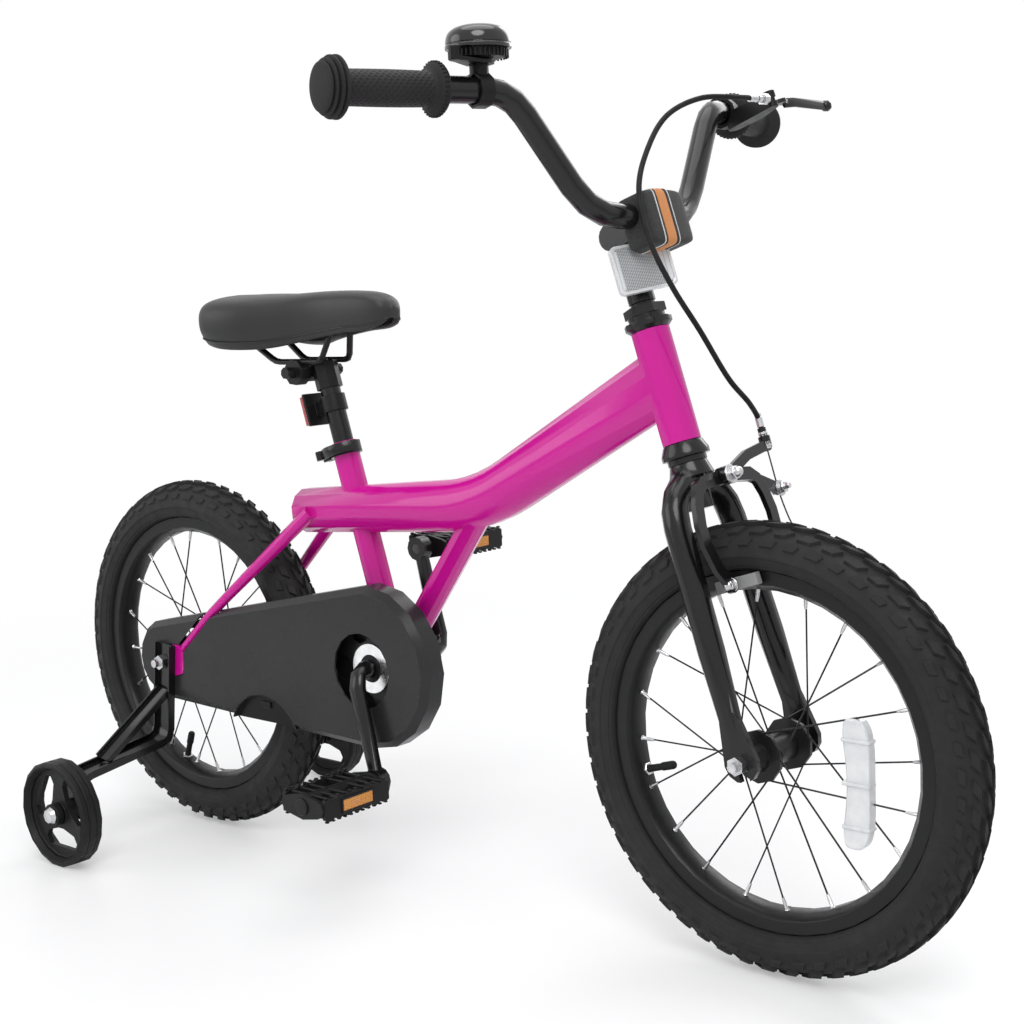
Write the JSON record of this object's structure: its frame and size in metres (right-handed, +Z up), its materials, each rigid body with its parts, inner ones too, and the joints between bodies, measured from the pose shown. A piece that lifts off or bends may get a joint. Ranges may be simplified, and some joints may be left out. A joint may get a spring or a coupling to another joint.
{
  "type": "kids bicycle with training wheels",
  "caption": "Kids' bicycle with training wheels, magenta step-through style frame, black parts, chain guard, rim brake, bell and reflectors.",
  "frame": {"origin": "on the ground directly under the rear axle, in the bicycle's middle plane", "axes": "+X forward, +Y to the rider's left, +Z up"},
  "size_m": [1.193, 0.642, 0.8323],
  "materials": {
    "frame_paint": "glossy magenta enamel",
    "black_paint": "gloss black enamel",
    "tyre": "matte black rubber",
    "rim_plastic": "black moulded rim",
    "steel": "zinc plated steel",
    "chain_steel": "oiled steel",
    "black_plastic": "semi-gloss moulded plastic",
    "rubber": "soft black rubber",
    "saddle_cover": "smooth black synthetic cover",
    "pad_fabric": "black padded cloth with an orange stripe",
    "clear_lens": "clear prismatic lens",
    "red_lens": "red prismatic lens"
  },
  "bodies": {
    "frame": {"frame": "frame_paint", "lower_head_cup": "black_paint", "upper_head_cup": "black_paint", "bracket_cup_right": "steel", "bracket_cup_left": "steel", "chain_guard": "black_plastic", "chain": "chain_steel", "rear_axle": "steel", "coaster_arm": "steel", "training_bracket_right": "black_paint", "training_bracket_left": "black_paint", "training_axle_right": "steel", "training_axle_left": "steel", "seat_collar": "black_paint"},
    "seat": {"seat_post": "black_paint", "seat_clamp": "black_paint", "saddle_rails": "black_paint", "saddle": "saddle_cover", "saddle_base": "black_plastic", "rear_reflector_bracket": "black_plastic", "rear_reflector": "red_lens"},
    "seat_lever": {"seat_lever": "black_paint"},
    "steering": {"fork": "black_paint", "headset_lock_nut": "black_paint", "stem": "black_paint", "stem_cap": "black_paint", "handlebar": "black_paint", "grip_left": "rubber", "grip_right": "rubber", "brake_bracket": "black_plastic", "lever_adjuster": "steel", "brake_cable": "rubber", "caliper_bolt": "steel", "bell_base": "black_plastic", "bell_dome": "black_paint", "front_reflector_bracket": "black_plastic", "front_reflector": "clear_lens", "stem_pad": "pad_fabric", "front_axle": "steel"},
    "front_wheel": {"front_tyre": "tyre", "front_rim": "rim_plastic", "front_hub": "rim_plastic"},
    "rear_wheel": {"rear_tyre": "tyre", "rear_rim": "rim_plastic", "rear_hub": "steel"},
    "crank": {"crank": "black_paint", "chainring": "chain_steel", "pedal_axle_right": "steel", "pedal_axle_left": "steel"},
    "sprocket": {"rear_sprocket": "steel"},
    "pedal_right": {"pedal_right": "black_plastic"},
    "pedal_left": {"pedal_left": "black_plastic"},
    "training_wheel_right": {"training_wheel_right": "black_plastic"},
    "training_wheel_left": {"training_wheel_left": "black_plastic"},
    "brake_lever": {"brake_lever": "black_plastic"},
    "caliper_right": {"caliper_arm_right": "black_paint", "brake_shoe_right": "rubber"},
    "caliper_left": {"caliper_arm_left": "black_paint", "brake_shoe_left": "rubber"},
    "bell_lever": {"bell_lever": "black_plastic"}
  },
  "joints": [
    {"name": "steering_turn", "type": "hinge", "parent": "frame", "child": "steering", "pos_m": [0.77919, 0, 0.2038], "axis": [-0.3007, 0, 0.9537], "range_deg": [-60, 60]},
    {"name": "front_wheel_spin", "type": "hinge", "parent": "steering", "child": "front_wheel", "pos_m": [0.783, 0, 0.205], "axis": [0, 1, 0], "continuous": true},
    {"name": "rear_wheel_spin", "type": "hinge", "parent": "frame", "child": "rear_wheel", "pos_m": [0, 0, 0.205], "axis": [0, 1, 0], "continuous": true},
    {"name": "crank_turn", "type": "hinge", "parent": "frame", "child": "crank", "pos_m": [0.3226, 0, 0.2314], "axis": [0, 1, 0], "continuous": true},
    {"name": "sprocket_turn", "type": "hinge", "parent": "frame", "child": "sprocket", "pos_m": [0, 0, 0.205], "axis": [0, 1, 0], "continuous": true},
    {"name": "pedal_right_spin", "type": "hinge", "parent": "crank", "child": "pedal_right", "pos_m": [0.35207, -0.07, 0.12293], "axis": [0, 1, 0], "continuous": true},
    {"name": "pedal_left_spin", "type": "hinge", "parent": "crank", "child": "pedal_left", "pos_m": [0.29313, 0.07, 0.33987], "axis": [0, 1, 0], "continuous": true},
    {"name": "training_wheel_right_spin", "type": "hinge", "parent": "frame", "child": "training_wheel_right", "pos_m": [-0.018, 0, 0.0586], "axis": [0, 1, 0], "continuous": true},
    {"name": "training_wheel_left_spin", "type": "hinge", "parent": "frame", "child": "training_wheel_left", "pos_m": [-0.018, 0, 0.0586], "axis": [0, 1, 0], "continuous": true},
    {"name": "seat_height", "type": "slide", "parent": "frame", "child": "seat", "axis": [-0.279, 0, 0.9603], "range_m": [-0.015, 0.03]},
    {"name": "seat_lever_swing", "type": "hinge", "parent": "frame", "child": "seat_lever", "pos_m": [0.23411, -0.015, 0.44781], "axis": [-0.279, 0, 0.9603], "range_deg": [-150, 0]},
    {"name": "brake_lever_pull", "type": "hinge", "parent": "steering", "child": "brake_lever", "pos_m": [0.65856, 0.188, 0.77877], "axis": [-0.3007, 0, 0.9537], "range_deg": [0, 16], "stiffness_Nm_per_rad": 0.6, "springref_deg": -8.59},
    {"name": "caliper_right_close", "type": "hinge", "parent": "steering", "child": "caliper_right", "pos_m": [0.74091, 0, 0.44757], "axis": [0.9537, 0, 0.3007], "range_deg": [0, 1.3]},
    {"name": "caliper_left_close", "type": "hinge", "parent": "steering", "child": "caliper_left", "pos_m": [0.73557, 0, 0.44589], "axis": [0.9537, 0, 0.3007], "range_deg": [-1.3, 0]},
    {"name": "bell_lever_flick", "type": "hinge", "parent": "steering", "child": "bell_lever", "pos_m": [0.62437, -0.175, 0.77954], "axis": [0, 0, 1], "range_deg": [0, 30], "stiffness_Nm_per_rad": 0.05, "springref_deg": -5.73}
  ],
  "couplings": [
    {"joint": "sprocket_turn", "follows": "crank_turn", "ratio": 2},
    {"joint": "caliper_right_close", "follows": "brake_lever_pull", "ratio": 0.08125},
    {"joint": "caliper_left_close", "follows": "brake_lever_pull", "ratio": -0.08125}
  ]
}
